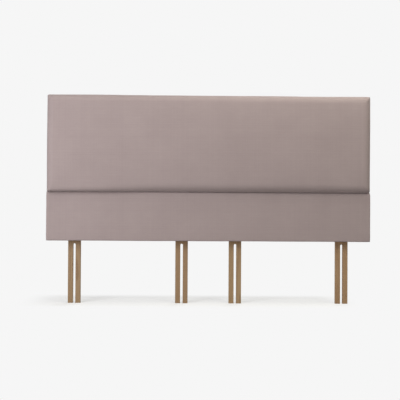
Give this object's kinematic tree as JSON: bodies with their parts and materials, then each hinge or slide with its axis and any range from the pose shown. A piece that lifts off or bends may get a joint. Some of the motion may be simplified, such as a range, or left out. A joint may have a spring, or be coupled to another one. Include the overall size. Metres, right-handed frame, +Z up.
{
  "type": "headboard",
  "caption": "Wide upholstered headboard with a deep padded upper part and a plain lower part, on slotted wooden struts that bolt to the end of a divan bed base.",
  "frame": {"origin": "on the floor under the struts, at the middle of the headboard's bounding box", "axes": "+Z up, +X along the width to the right as seen from the front, and the padded front faces -Y"},
  "size_m": [1.8, 0.1237, 1.16],
  "materials": {
    "upholstery_fabric": "smooth tight-woven mauve-taupe cloth with a faint sheen",
    "dust_cloth": "thin black non-woven cloth",
    "foam": "cream polyurethane foam",
    "wadding": "white polyester wadding",
    "tack_card": "plain card",
    "plywood": "unfinished plywood",
    "frame_pine": "planed softwood, unfinished",
    "strut_pine": "planed pine, lightly browned, matt",
    "dowel_beech": "beech dowel",
    "zinc_steel": "bright zinc plate",
    "staple_steel": "galvanised wire"
  },
  "bodies": {
    "root": {"back_cloth": "dust_cloth", "back_cloth_staples": "staple_steel", "cover_staples": "staple_steel", "frame_bottom_rail": "frame_pine", "frame_dowels": "dowel_beech", "frame_left_stile": "frame_pine", "frame_middle_rail": "frame_pine", "frame_right_stile": "frame_pine", "frame_top_rail": "frame_pine", "front_panel": "plywood", "lower_cover": "upholstery_fabric", "lower_wadding": "wadding", "pad_foam": "foam", "panel_screws": "zinc_steel", "plain_foam": "foam", "seam_staples": "staple_steel", "seam_tack_strip": "tack_card", "strut_batten_inner_left": "frame_pine", "strut_batten_inner_right": "frame_pine", "strut_batten_outer_left": "frame_pine", "strut_batten_outer_right": "frame_pine", "strut_bolts_inner_left": "zinc_steel", "strut_bolts_inner_right": "zinc_steel", "strut_bolts_outer_left": "zinc_steel", "strut_bolts_outer_right": "zinc_steel", "strut_inner_left": "strut_pine", "strut_inner_right": "strut_pine", "strut_outer_left": "strut_pine", "strut_outer_right": "strut_pine", "strut_washers_inner_left": "zinc_steel", "strut_washers_inner_right": "zinc_steel", "strut_washers_outer_left": "zinc_steel", "strut_washers_outer_right": "zinc_steel", "tee_nuts_inner_left": "zinc_steel", "tee_nuts_inner_right": "zinc_steel", "tee_nuts_outer_left": "zinc_steel", "tee_nuts_outer_right": "zinc_steel", "upper_cover": "upholstery_fabric", "upper_stud_left": "frame_pine", "upper_stud_middle": "frame_pine", "upper_stud_right": "frame_pine", "upper_wadding": "wadding"}
  },
  "joints": []
}
